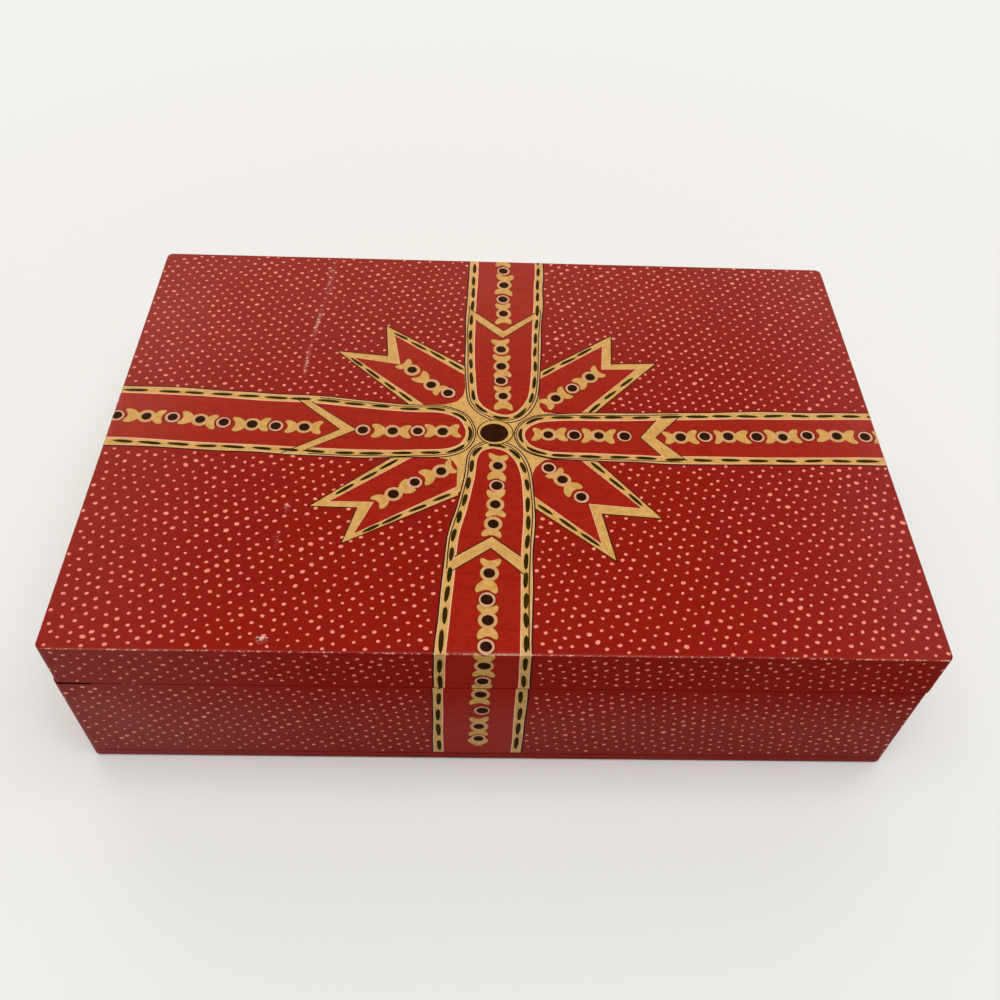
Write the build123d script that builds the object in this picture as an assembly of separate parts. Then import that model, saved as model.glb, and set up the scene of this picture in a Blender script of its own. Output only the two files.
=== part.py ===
from build123d import *
import math
import os

# Hinged wooden storage box, closed, in millimetres.
# The origin is the middle of the underside. +X runs to the right along the front,
# +Y runs away to the back, where the hinges are, and +Z is up.

# Outside of the closed box
box_length = 254.0
box_width = 177.8
box_height = 63.5
lid_height = 18.3  # top face down to the middle of the seam

# Boards
wall_thickness = 8.0
lid_panel_thickness = 4.0
bottom_board_thickness = 4.0

# How the lid sits on the base
rim_gap = 0.2
lid_side_set = 0.5  # the lid stands this far over to the right

# Rounded and eased edges
corner_radius = 2.2
top_edge_radius = 0.6
bottom_edge_ease = 0.8
rim_edge_ease = 0.12
board_joint_ease = 0.25  # the line round the box where the bottom board meets the walls

# The two back rims are bevelled from the hinge line outwards, so that the lid
# tips back past upright until the bevels meet, and stays there
back_bevel_depth = 1.7
lid_opening_angle = 100.0  # degrees
bevel_spare_angle = 2.0  # each bevel is cut this much steeper than half the opening

# Butt hinges, leaves let into the two rims
hinge_inset = 46.0  # end of the box to the middle of a hinge
leaf_length = 25.0
leaf_width = 5.6  # pin centre to the leaf's inner edge
leaf_thickness = 0.9
leaf_corner_radius = 0.8
knuckle_count = 3
knuckle_diameter = 3.0
knuckle_side_gap = 0.25  # between neighbouring knuckles
knuckle_wood_gap = 0.3
mortise_gap = 0.1
pin_diameter = 1.5
pin_running_gap = 0.05
pin_end_length = 0.3  # stands out of each outer knuckle

# Countersunk wood screws, two in each leaf
screw_spacing = 14.0
screw_edge_distance = 2.0  # screw centre to the leaf's inner edge
screw_length = 7.5
screw_diameter = 1.5
screw_head_diameter = 2.8
screw_slot_width = 0.4
screw_slot_depth = 0.35
screw_gap = 0.04  # round the shank and under the head
screw_sink = 0.06  # the head lies this far below the leaf

# Cut nails, square in section, that hold the bottom board to the walls
nails_per_long_wall = 4
nails_per_short_wall = 2
nail_end_distance = 34.0  # outside corner to the first nail of a row
nail_length = 19.0
nail_shank_width = 1.5  # under the head
nail_point_width = 0.6
nail_head_length = 3.2
nail_head_width = 2.2
nail_head_thickness = 0.6
nail_sink = 0.3  # the head lies this far above the underside
nail_gap = 0.04

# Places worked out from the sizes above
seam_height = box_height - lid_height
base_rim_height = seam_height - rim_gap / 2
lid_rim_height = seam_height + rim_gap / 2
back_face = box_width / 2
hinge_line = back_face - back_bevel_depth
hinge_places = {"left": hinge_inset - box_length / 2, "right": box_length / 2 - hinge_inset}
knuckle_radius = knuckle_diameter / 2
knuckle_room = knuckle_radius + knuckle_wood_gap
cut_margin = 1.0  # how far a cutter reaches past the face that it cuts
bevel_rise = math.tan(math.radians(lid_opening_angle / 2 + bevel_spare_angle))


def outline_block(low, high, side_set):
    """Block with the box's rounded outline, between two heights."""
    outline = RectangleRounded(box_length, box_width, corner_radius)
    return Pos(side_set, 0, low) * extrude(outline, amount=high - low)


def top_outline(block):
    """Edges round a block's upper face."""
    return block.faces().sort_by(Axis.Z)[-1].edges()


def bottom_outline(block):
    """Edges round a block's lower face."""
    return block.faces().sort_by(Axis.Z)[0].edges()


def level_slab(low, high):
    """Slab wider than the box, to cut a block at two heights."""
    reach = 2 * box_length
    return Pos(0, 0, (low + high) / 2) * Box(reach, reach, high - low)


def inner_space(low, high, side_set):
    """The room inside the four walls, between two heights."""
    length = box_length - 2 * wall_thickness
    width = box_width - 2 * wall_thickness
    return Pos(side_set, 0, (low + high) / 2) * Box(length, width, high - low)


def back_bevel(rim_height, upward):
    """Wedge that bevels a back rim, from the hinge line out through the back face."""
    reach = back_bevel_depth + cut_margin
    drop = -reach * bevel_rise if upward > 0 else reach * bevel_rise
    over = upward * cut_margin
    wedge = Polyline(
        (hinge_line, rim_height),
        (hinge_line, rim_height + over),
        (hinge_line + reach, rim_height + over),
        (hinge_line + reach, rim_height + drop),
        close=True,
    )
    return extrude(Plane.YZ * make_face(wedge), amount=box_length, both=True)


def mitred_wall(ring, side, side_set):
    """One wall of a ring of four, cut at 45 degrees through the outside corners."""
    depth = wall_thickness + cut_margin
    along = {"front": box_length, "back": box_length, "left": box_width, "right": box_width}[side]
    across = {"front": box_width, "back": box_width, "left": box_length, "right": box_length}[side]
    turn = {"front": 0, "right": 90, "back": 180, "left": 270}[side]
    outer = along / 2 + cut_margin
    inner = along / 2 - depth
    wedge = Polyline(
        (-outer, -across / 2 - cut_margin),
        (outer, -across / 2 - cut_margin),
        (inner, -across / 2 + depth),
        (-inner, -across / 2 + depth),
        close=True,
    )
    prism = extrude(make_face(wedge), amount=box_height)
    wall = ring & (Pos(side_set, 0, 0) * Rot(0, 0, turn) * prism)
    return wall.solid()


def knuckle_spans():
    """Start and end along the hinge of each knuckle, from its left end."""
    pitch = (leaf_length + knuckle_side_gap) / knuckle_count
    starts = [-leaf_length / 2 + pitch * index for index in range(knuckle_count)]
    return [(start, start + pitch - knuckle_side_gap) for start in starts]


def rod_along_x(start, end, radius):
    """Round bar on the hinge line, before it is moved to its hinge."""
    return Pos((start + end) / 2, 0, 0) * Rot(0, 90, 0) * Cylinder(radius, end - start)


def screw_points():
    """Screw centres in a leaf, along the hinge and in from the hinge line."""
    inward = -(leaf_width - screw_edge_distance)
    return [(-screw_spacing / 2, inward), (screw_spacing / 2, inward)]


def wood_screw():
    """Countersunk slotted screw, its leaf's face at height zero, pointing down."""
    radius = screw_diameter / 2
    end = -screw_sink - screw_length
    profile = Polyline(
        (0, -screw_sink),
        (screw_head_diameter / 2, -screw_sink),
        (radius, -screw_sink - (screw_head_diameter - screw_diameter) / 2),
        (radius, end),
        (0, end),
        close=True,
    )
    body = revolve(Plane.XZ * make_face(profile), Axis.Z)
    slot_top = cut_margin
    slot_bottom = -screw_sink - screw_slot_depth
    slot = Pos(0, 0, (slot_top + slot_bottom) / 2) * Box(
        screw_head_diameter * 2, screw_slot_width, slot_top - slot_bottom
    )
    return body - slot


def screw_hole():
    """Hole for a screw in a leaf: a shank hole with a countersink."""
    radius = screw_diameter / 2 + screw_gap
    head_radius = screw_head_diameter / 2 + screw_gap
    cone_bottom = -screw_sink - (screw_head_diameter - screw_diameter) / 2
    profile = Polyline(
        (0, cut_margin),
        (head_radius, cut_margin),
        (head_radius, -screw_sink),
        (radius, cone_bottom),
        (radius, -leaf_thickness - cut_margin),
        (0, -leaf_thickness - cut_margin),
        close=True,
    )
    return revolve(Plane.XZ * make_face(profile), Axis.Z)


def screw_pilot():
    """Hole for a screw's shank in the wood below a leaf."""
    depth = screw_sink + screw_length + screw_gap
    return Pos(0, 0, -depth / 2) * Cylinder(screw_diameter / 2 + screw_gap, depth)


def hinge_leaf(own_knuckles):
    """Leaf that lies under the seam, on a hinge whose pin centre is the origin."""
    face = -rim_gap / 2
    plate_width = leaf_width - knuckle_room
    plate_outline = RectangleRounded(leaf_length, 2 * plate_width, leaf_corner_radius)
    plate = Pos(0, -knuckle_room, face - leaf_thickness) * extrude(
        plate_outline, amount=leaf_thickness
    )
    keep = Pos(0, -knuckle_room - plate_width, face) * Box(
        2 * leaf_length, 2 * plate_width, 4 * leaf_thickness
    )
    leaf = plate & keep
    spans = knuckle_spans()
    for index in own_knuckles:
        start, end = spans[index]
        barrel = rod_along_x(start, end, knuckle_radius)
        tongue = Pos((start + end) / 2, -knuckle_room / 2, face - leaf_thickness / 2) * Box(
            end - start, knuckle_room, leaf_thickness
        )
        leaf = leaf + barrel + tongue
    bore = rod_along_x(-leaf_length, leaf_length, pin_diameter / 2 + pin_running_gap)
    leaf = leaf - bore
    for along, inward in screw_points():
        leaf = leaf - Pos(along, inward, face) * screw_hole()
    return leaf.solid()


def hinge_room():
    """Wood taken away for a hinge under the seam: mortise, knuckle notch and pilot holes."""
    face = -rim_gap / 2
    length = leaf_length + 2 * mortise_gap
    width = leaf_width + mortise_gap
    pocket = Pos(0, (back_bevel_depth - width) / 2, face - leaf_thickness / 2 + cut_margin / 2)
    room = pocket * Box(length, width + back_bevel_depth, leaf_thickness + cut_margin)
    notch_half = leaf_length / 2 + pin_end_length + mortise_gap
    room = room + rod_along_x(-notch_half, notch_half, knuckle_room)
    for along, inward in screw_points():
        room = room + Pos(along, inward, face) * screw_pilot()
    return room


def hinge_pin():
    """Pin of a hinge, cut square at its two ends."""
    half = leaf_length / 2 + pin_end_length
    return rod_along_x(-half, half, pin_diameter / 2)


def nail_places():
    """Centres of the nails, in rows down the middle of each wall, and their turn."""
    row_line = wall_thickness / 2
    places = []
    rows = (
        (nails_per_long_wall, box_length, box_width, False),
        (nails_per_short_wall, box_width, box_length, True),
    )
    for count, along_size, across_size, turned in rows:
        first = nail_end_distance - along_size / 2
        step = -2 * first / (count - 1)
        for index in range(count):
            along = first + step * index
            for across in (row_line - across_size / 2, across_size / 2 - row_line):
                places.append(Pos(across, along) * Rot(0, 0, 90) if turned else Pos(along, across))
    return places


def nail(gap):
    """Cut nail pointing up from the underside, or its hole where a gap is given."""
    head_low = nail_sink if gap == 0 else -cut_margin
    head_high = nail_sink + nail_head_thickness + gap
    end = nail_sink + nail_length + gap
    head = Pos(0, 0, (head_low + head_high) / 2) * Box(
        nail_head_length + 2 * gap, nail_head_width + 2 * gap, head_high - head_low
    )
    wide = nail_shank_width + 2 * gap
    narrow = nail_point_width + 2 * gap
    root = Pos(0, 0, head_high) * Rectangle(wide, wide)
    point = Pos(0, 0, end) * Rectangle(narrow, narrow)
    shank = loft([root, point])
    return head + shank


def over_the_seam(shape):
    """The same shape on the lid's side of the seam, for a hinge about the origin."""
    return mirror(shape, about=Plane.XY)


def at_hinge(shape, side):
    """Move a shape from the origin to a hinge."""
    return Pos(hinge_places[side], hinge_line, seam_height) * shape


def base_parts():
    """Four mitred walls and the bottom board."""
    board = outline_block(0, bottom_board_thickness, 0)
    board = chamfer(bottom_outline(board), bottom_edge_ease)
    board = chamfer(top_outline(board), board_joint_ease)
    ring = outline_block(bottom_board_thickness, base_rim_height, 0)
    ring = chamfer(bottom_outline(ring), board_joint_ease)
    ring = chamfer(top_outline(ring), rim_edge_ease)
    ring = ring - inner_space(0, box_height, 0)
    ring = ring - back_bevel(base_rim_height, 1)
    for side in hinge_places:
        ring = ring - at_hinge(hinge_room(), side)
    for place in nail_places():
        hole = place * nail(nail_gap)
        board = board - hole
        ring = ring - hole
    nodes = {"bottom_board": board.solid()}
    for side in ("front", "back", "left", "right"):
        nodes[f"base_{side}_wall"] = mitred_wall(ring, side, 0)
    return nodes


def lid_parts():
    """Four mitred walls and the panel over them."""
    block = outline_block(lid_rim_height, box_height, lid_side_set)
    block = fillet(top_outline(block), top_edge_radius)
    block = chamfer(bottom_outline(block), rim_edge_ease)
    panel_underside = box_height - lid_panel_thickness
    panel = block & level_slab(panel_underside, box_height)
    ring = block - level_slab(panel_underside, box_height + cut_margin)
    ring = ring - inner_space(seam_height - cut_margin, box_height, lid_side_set)
    ring = ring - back_bevel(lid_rim_height, -1)
    for side in hinge_places:
        ring = ring - at_hinge(over_the_seam(hinge_room()), side)
    nodes = {"lid_panel": panel.solid()}
    for side in ("front", "back", "left", "right"):
        nodes[f"lid_{side}_wall"] = mitred_wall(ring, side, lid_side_set)
    return nodes


def hinge_parts(side):
    """Two leaves, the pin and the screws of one hinge."""
    lower = hinge_leaf(range(0, knuckle_count, 2))
    upper = over_the_seam(hinge_leaf(range(1, knuckle_count, 2)))
    face = -rim_gap / 2
    screws = [Pos(along, inward, face) * wood_screw() for along, inward in screw_points()]
    lower_screws = Compound(children=[at_hinge(screw, side).solid() for screw in screws])
    upper_screws = Compound(
        children=[at_hinge(over_the_seam(screw), side).solid() for screw in screws]
    )
    return {
        f"{side}_hinge_base_leaf": at_hinge(lower, side),
        f"{side}_hinge_lid_leaf": at_hinge(upper, side),
        f"{side}_hinge_pin": at_hinge(hinge_pin(), side),
        f"{side}_hinge_base_screws": lower_screws,
        f"{side}_hinge_lid_screws": upper_screws,
    }


def bottom_nails():
    """All the nails of the bottom board."""
    return Compound(children=[(place * nail(0)).solid() for place in nail_places()])


nodes = {}
nodes.update(base_parts())
nodes.update(lid_parts())
for hinge_side in hinge_places:
    nodes.update(hinge_parts(hinge_side))
nodes["bottom_nails"] = bottom_nails()

os.makedirs("parts", exist_ok=True)
for name, shape in nodes.items():
    export_step(shape, f"parts/{name}.step")
print(len(nodes), "nodes, lid opens to", lid_opening_angle, "degrees")
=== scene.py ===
# %% [markdown]
# # A painted wooden box with a hinged lid
# The real box is a small joiner's piece: four mitred walls, a lid cut off the same block of walls,
# a bottom board held by cut nails and two brass butt hinges at the back.
# All of that comes from the frame, at its real size.
# This lesson gives it its looks: red lacquer, brass and steel, and the ribbon that a hand painted
# over it, with its beads, bows and dots.

# %% Load the frame
import random
from math import atan2, cos, pi, radians, sin

import bmesh
import bpy
from mathutils import Matrix, Vector, geometry, noise


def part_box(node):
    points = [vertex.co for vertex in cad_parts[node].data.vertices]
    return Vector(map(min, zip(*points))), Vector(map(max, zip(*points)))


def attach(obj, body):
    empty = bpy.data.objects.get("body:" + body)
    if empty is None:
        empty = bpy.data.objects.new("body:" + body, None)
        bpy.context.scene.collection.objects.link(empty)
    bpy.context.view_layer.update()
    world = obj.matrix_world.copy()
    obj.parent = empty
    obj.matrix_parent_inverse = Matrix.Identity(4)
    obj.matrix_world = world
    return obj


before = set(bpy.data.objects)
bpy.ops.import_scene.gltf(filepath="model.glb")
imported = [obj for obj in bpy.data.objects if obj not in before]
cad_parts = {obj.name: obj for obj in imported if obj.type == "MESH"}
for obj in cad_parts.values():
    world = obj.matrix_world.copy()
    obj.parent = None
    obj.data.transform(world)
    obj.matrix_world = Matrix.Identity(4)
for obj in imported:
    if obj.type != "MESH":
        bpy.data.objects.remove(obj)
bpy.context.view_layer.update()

# %% [markdown]
# ## The sizes that everything follows
# A painter measures the box before laying out a ribbon, and so does this script.
# It reads the outside of the lid and of the base from the frame, in millimetres,
# because every painted mark is placed from those faces.

# %% Read the lid and the base
MM = 0.001
LID_BOARDS = ["lid_panel", "lid_front_wall", "lid_back_wall", "lid_left_wall", "lid_right_wall"]
BASE_BOARDS = ["bottom_board", "base_front_wall", "base_back_wall", "base_left_wall", "base_right_wall"]


def measure(nodes):
    """Lowest and highest corner of several boards together, in millimetres."""
    corners = [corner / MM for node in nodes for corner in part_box(node)]
    low = Vector([min(corner[axis] for corner in corners) for axis in range(3)])
    high = Vector([max(corner[axis] for corner in corners) for axis in range(3)])
    return low, high


lid_low, lid_high = measure(LID_BOARDS)
base_low, base_high = measure(BASE_BOARDS)
panel_low, _ = measure(["lid_panel"])
_, bottom_high = measure(["bottom_board"])
WALL = 8.0
TOP_ROUND = 0.6  # radius of the lid's top edge
CORNER_ROUND = 2.2  # radius of the upright corners
RIM_EASE = 0.12  # of the rims at the seam, whose sharp edges are taken off
BACK_BEVEL_RISE = 2.2  # how far the bevel of a back rim runs up or down the back face
side_set = (lid_low.x + lid_high.x) / 2
print("lid", lid_low, lid_high, "base", base_low, base_high, "set over by", round(side_set, 2))

# %% [markdown]
# ## Camera, floor and light
# The box stands on a plain pale floor. The camera stands where a person would lean over it.
# Its place, tilt and lens were worked out from the corners of the real box, seen in a photograph.
# One large soft lamp hangs overhead, a little to the front, so that the front wall and the floor
# before it are lit too. Three weaker ones, behind the box and to its left and right, are what the
# glossy lacquer mirrors as a soft haze towards the back and the two ends of the lid.

# %% Place the camera
EYE = Vector((-9.37, -235.16, 301.52)) * MM
TILT_BELOW_LEVEL = 49.62
TURN = -2.84
ROLL = 3.218
LENS = 36.161

camera = bpy.data.objects.new("camera", bpy.data.cameras.new("camera"))
camera.data.lens = LENS
camera.data.sensor_width = 36.0
camera.data.clip_start = 0.01
upright = Matrix.Rotation(radians(90 - TILT_BELOW_LEVEL), 4, "X")
camera.matrix_world = (
    Matrix.Translation(EYE)
    @ Matrix.Rotation(radians(TURN), 4, "Z")
    @ upright
    @ Matrix.Rotation(radians(ROLL), 4, "Z")
)
bpy.context.scene.collection.objects.link(camera)
bpy.context.scene.camera = camera
bpy.context.scene.view_settings.view_transform = "Standard"
print("camera at", tuple(round(c, 3) for c in camera.location))

# %% Helpers that place nodes


def set_inputs(tree, node, inputs):
    """Gives each input a value, or a socket that it is linked to."""
    for name, value in inputs.items():
        if isinstance(value, bpy.types.NodeSocket):
            tree.links.new(value, node.inputs[name])
        else:
            node.inputs[name].default_value = value


def add_node(tree, kind, inputs=None, **settings):
    """A node of one kind, with its inputs and its settings."""
    made = tree.nodes.new(kind)
    for name, value in settings.items():
        setattr(made, name, value)
    set_inputs(tree, made, inputs or {})
    return made


def calc(tree, operation, *values, clamp=False):
    """The result of one sum on the values given."""
    numbers = dict(enumerate(values))
    return add_node(tree, "ShaderNodeMath", numbers, operation=operation, use_clamp=clamp).outputs[0]


def vector_calc(tree, operation, *vectors):
    """The result of one sum on vectors, which is a value for a length and a vector for the rest."""
    made = add_node(tree, "ShaderNodeVectorMath", dict(enumerate(vectors)), operation=operation)
    return made.outputs["Value" if operation == "LENGTH" else "Vector"]


def split(tree, vector):
    """The x, y and z of a vector."""
    return add_node(tree, "ShaderNodeSeparateXYZ", {0: vector}).outputs


def object_place(tree):
    """Where a point of the surface lies in the frame, in metres."""
    return add_node(tree, "ShaderNodeTexCoord").outputs["Object"]


def speckle(tree, place, scale, detail, roughness=0.5):
    """Noise between nought and one: clouds at a small scale, and specks at a large one."""
    inputs = {"Vector": place, "Scale": scale, "Detail": detail, "Roughness": roughness}
    return add_node(tree, "ShaderNodeTexNoise", inputs).outputs[0]


def ramp(tree, value, low, high):
    """Nought below low, one above high, and a smooth rise between them."""
    inputs = {0: value, 1: low, 2: high}
    return add_node(tree, "ShaderNodeMapRange", inputs, interpolation_type="SMOOTHSTEP").outputs[0]


def blend(tree, share, first, second):
    """A colour between two colours."""
    return add_node(tree, "ShaderNodeMix", {0: share, 6: first, 7: second}, data_type="RGBA").outputs[2]


def bumped(tree, height, strength, distance):
    """The lie of a surface that rises a little with the height given."""
    inputs = {"Height": height, "Strength": strength, "Distance": distance}
    return add_node(tree, "ShaderNodeBump", inputs).outputs[0]


# %% Helpers for colours, materials and groups


def rgb(red, green, blue):
    """A colour as a paint chart gives it, 0 to 255, in the linear form that a shader wants."""
    def linear(part):
        share = part / 255
        return share / 12.92 if share <= 0.04045 else ((share + 0.055) / 1.055) ** 2.4
    return (linear(red), linear(green), linear(blue), 1.0)


def new_material(name):
    """A material with a Principled shader, and the tree that it lives in."""
    material = bpy.data.materials.new(name)
    material.use_nodes = True
    tree = material.node_tree
    tree.nodes.clear()
    shader = tree.nodes.new("ShaderNodeBsdfPrincipled")
    output = tree.nodes.new("ShaderNodeOutputMaterial")
    tree.links.new(shader.outputs[0], output.inputs[0])
    return material, tree, shader


def new_group(name, inputs, outputs):
    """A node group with named inputs and outputs."""
    tree = bpy.data.node_groups.new(name, "ShaderNodeTree")
    for title, kind, value in inputs:
        socket = tree.interface.new_socket(title, in_out="INPUT", socket_type="NodeSocket" + kind)
        socket.default_value = value
    for title, kind in outputs:
        tree.interface.new_socket(title, in_out="OUTPUT", socket_type="NodeSocket" + kind)
    return tree, tree.nodes.new("NodeGroupInput").outputs, tree.nodes.new("NodeGroupOutput").inputs


def use_group(tree, group, **values):
    """A group placed in a material with its own values. Underscores in a name stand for spaces."""
    made = add_node(tree, "ShaderNodeGroup", node_tree=group)
    set_inputs(tree, made, {name.replace("_", " "): value for name, value in values.items()})
    return made.outputs


print("middle grey of the chart is", round(rgb(128, 128, 128)[0], 3), "in a shader")

# %% Lay the floor
BACKDROP = rgb(244, 242, 238)
FADE_START, FADE_END = 0.06, 0.45  # metres from the middle of the box


def seen_and_mirrored(tree):
    """One for what the camera sees, and one for what metal mirrors or glass shows."""
    paths = tree.nodes.new("ShaderNodeLightPath").outputs
    mirrored = calc(tree, "MAXIMUM", paths["Is Glossy Ray"], paths["Is Transmission Ray"])
    return paths["Is Camera Ray"], mirrored


floor_mesh = bpy.data.meshes.new("floor")
bm = bmesh.new()
bmesh.ops.create_grid(bm, x_segments=1, y_segments=1, size=4.0)
bm.to_mesh(floor_mesh)
bm.free()
floor = bpy.data.objects.new("floor", floor_mesh)
bpy.context.scene.collection.objects.link(floor)
floor_paint, tree, shader = new_material("pale_floor")
cloud = add_node(tree, "ShaderNodeTexNoise", {"Scale": 3.0, "Detail": 3.0})
pale = blend(tree, cloud.outputs[0], rgb(238, 241, 239), rgb(245, 247, 245))
set_inputs(tree, shader, {"Base Color": pale, "Roughness": 0.7})
# far from the box the floor fades into the pale backdrop, for the eye and in what metal mirrors
far = ramp(tree, vector_calc(tree, "LENGTH", object_place(tree)), FADE_START, FADE_END)
faded = calc(tree, "MULTIPLY", far, calc(tree, "MAXIMUM", *seen_and_mirrored(tree)))
glow = add_node(tree, "ShaderNodeEmission", {"Color": BACKDROP, "Strength": 1.0})
mixed = add_node(tree, "ShaderNodeMixShader", {0: faded, 1: shader.outputs[0], 2: glow.outputs[0]})
tree.links.new(mixed.outputs[0], tree.nodes["Material Output"].inputs[0])
floor_mesh.materials.append(floor_paint)
print("floor laid at z = 0")

# %% Light the room
world = bpy.data.worlds.new("room")
bpy.context.scene.world = world
world.use_nodes = True
tree = world.node_tree
tree.nodes.clear()
# the pale backdrop stands all round the box and reaches up a little way, and the room above it is dim
_, _, height = split(tree, tree.nodes.new("ShaderNodeTexCoord").outputs["Generated"])
low_down = calc(tree, "SUBTRACT", 1.0, ramp(tree, height, 0.25, 0.45))
seen, mirrored = seen_and_mirrored(tree)
pale_share = calc(tree, "MAXIMUM", seen, calc(tree, "MULTIPLY", mirrored, low_down))
room = add_node(tree, "ShaderNodeBackground", {"Color": (1.0, 0.99, 0.98, 1.0), "Strength": 0.13})
backdrop = add_node(tree, "ShaderNodeBackground", {"Color": BACKDROP, "Strength": 1.0})
mixed = add_node(tree, "ShaderNodeMixShader", {0: pale_share, 1: room.outputs[0], 2: backdrop.outputs[0]})
add_node(tree, "ShaderNodeOutputWorld", {"Surface": mixed.outputs[0]})
print("a dim room with a pale backdrop")

# %% Hang the lamps
WARM = (1.0, 0.78, 0.62)
PINKISH = (1.0, 0.93, 0.92)


def hang_lamp(name, place, aim, width, depth, power, tint=(1.0, 1.0, 1.0)):
    """A rectangular soft lamp that faces a point. Places and sizes are in metres, power is in watts."""
    lamp = bpy.data.objects.new(name, bpy.data.lights.new(name, "AREA"))
    lamp.data.color = tint
    lamp.data.shape = "RECTANGLE"
    lamp.data.size = width
    lamp.data.size_y = depth
    lamp.data.energy = power
    facing = (Vector(aim) - Vector(place)).to_track_quat("-Z", "Y")
    lamp.matrix_world = Matrix.Translation(place) @ facing.to_matrix().to_4x4()
    bpy.context.scene.collection.objects.link(lamp)


hang_lamp("overhead_lamp", (0.05, -0.22, 1.25), (0, 0, 0), 1.4, 0.9, 14.6)
hang_lamp("back_lamp", (-0.3, 1.55, 0.95), (0, 0, 0.05), 2.6, 0.8, 9.0, WARM)
for name, x, tint in (("left_lamp", -0.82, WARM), ("right_lamp", 0.94, PINKISH)):
    hang_lamp(name, (x, 1.0, 1.1), (x, 0.9, 0), 0.6, 1.1, 2.6, tint)
print("lamps:", [lamp.name for lamp in bpy.data.lights])

# %% [markdown]
# ## Effects that several finishes share
# A few things come back in many of the finishes: a box-shaped region, such as the inside of the box, wear
# along the edges with a painted highlight, an uneven coat of paint, flakes and scuffs, and how far the
# varnish still shines.
# Each is built once as a node group with named inputs, and every material sets its own values.

# %% A region inside two corners


def gaps_inside(tree, place, given):
    """Along each axis, how far a place lies inside the nearer face of a box given by two corners."""
    above = vector_calc(tree, "SUBTRACT", place, given["Low"])
    below = vector_calc(tree, "SUBTRACT", given["High"], place)
    return split(tree, vector_calc(tree, "MINIMUM", above, below))


def build_region():
    """One inside a box given by its lowest and highest corner in metres, nought outside it."""
    tree, given, result = new_group(
        "region",
        [("Low", "Vector", (0, 0, 0)), ("High", "Vector", (1, 1, 1)), ("Soft", "Float", 0.00001)],
        [("Mask", "Float")],
    )
    x, y, z = gaps_inside(tree, object_place(tree), given)
    least = calc(tree, "MINIMUM", calc(tree, "MINIMUM", x, y), z)
    inner = calc(tree, "DIVIDE", least, given["Soft"])
    tree.links.new(calc(tree, "ADD", inner, 0.5, clamp=True), result["Mask"])
    return tree


region = build_region()
print(region.name, "has", len(region.nodes), "nodes")

# %% Worn edges and a painted edge highlight


def build_edge_wear_and_highlight():
    """Worn spots along the edges of a box: near two of its faces at once, broken up by noise. Thin is a
    pale line along the edges that is partly worn paint and partly a painted highlight.
    """
    tree, given, result = new_group(
        "edge_wear_and_highlight",
        [("Low", "Vector", (0, 0, 0)), ("High", "Vector", (1, 1, 1)), ("Reach", "Float", 0.001),
         ("Amount", "Float", 0.5), ("Scale", "Float", 400.0)],
        [("Mask", "Float"), ("Thin", "Float")],
    )
    place = object_place(tree)
    x, y, z = gaps_inside(tree, place, given)
    # the middle one of three distances is the distance to the nearest edge
    edge = calc(tree, "MAXIMUM", calc(tree, "MINIMUM", x, y),
                calc(tree, "MINIMUM", calc(tree, "MAXIMUM", x, y), z))
    nearness = calc(tree, "SUBTRACT", 1.0, calc(tree, "DIVIDE", edge, given["Reach"]), clamp=True)
    needed = calc(tree, "SUBTRACT", 1.0, calc(tree, "MULTIPLY", nearness, given["Amount"]))
    specks = speckle(tree, place, given["Scale"], 4.0, 0.7)
    worn = calc(tree, "SUBTRACT", specks, calc(tree, "MULTIPLY", needed, 0.72))
    tree.links.new(ramp(tree, worn, 0.0, 0.05), result["Mask"])
    # in some stretches the edge is rubbed thin all along; this pale line is partly worn paint and partly
    # a painted highlight on the rounded edge
    stretches = ramp(tree, speckle(tree, place, 26.0, 2.0), 0.42, 0.6)
    rubbed = calc(tree, "MULTIPLY", stretches, ramp(tree, nearness, 0.15, 0.9))
    tree.links.new(calc(tree, "MULTIPLY", rubbed, 0.75), result["Thin"])
    return tree


edge_wear_and_highlight = build_edge_wear_and_highlight()
print(edge_wear_and_highlight.name, "has", len(edge_wear_and_highlight.nodes), "nodes")

# %% Uneven paint


def build_uneven_paint():
    """Slow and fine changes over painted wood: clouds, flecks, and grain that runs along the boards."""
    tree, given, result = new_group(
        "uneven_paint",
        [("Cloud Scale", "Float", 12.0), ("Fleck Scale", "Float", 900.0)],
        [("Height", "Float"), ("Fleck", "Float"), ("Grain", "Float")],
    )
    place = object_place(tree)
    cloud = speckle(tree, place, given["Cloud Scale"], 3.0)
    fleck = speckle(tree, place, given["Fleck Scale"], 3.0, 0.65)
    height = calc(tree, "ADD", calc(tree, "MULTIPLY", cloud, 0.7), calc(tree, "MULTIPLY", fleck, 0.3))
    # specks that are drawn out along the box look like grain
    drawn_out = vector_calc(tree, "MULTIPLY", place, (0.045, 1.0, 1.0))
    grain = ramp(tree, speckle(tree, drawn_out, 1100.0, 3.0, 0.6), 0.45, 0.75)
    for name, value in (("Height", height), ("Fleck", fleck), ("Grain", grain)):
        tree.links.new(value, result[name])
    return tree


uneven_paint = build_uneven_paint()
print(uneven_paint.name, "has", len(uneven_paint.nodes), "nodes")

# %% A varnish that is duller where hands wore it
FRONT_FACE = lid_low.y * MM
# on the front wall the shine fades to the right and upwards: from where to where, in metres,
# and by how much, of which the first little doesn't show
FADE_RIGHT, RIGHT_LOSS = (-0.125, -0.045), 0.58
FADE_UP, UPPER_LOSS = (0.02, 0.048), 0.38
UNSEEN_LOSS = 0.12


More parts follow.
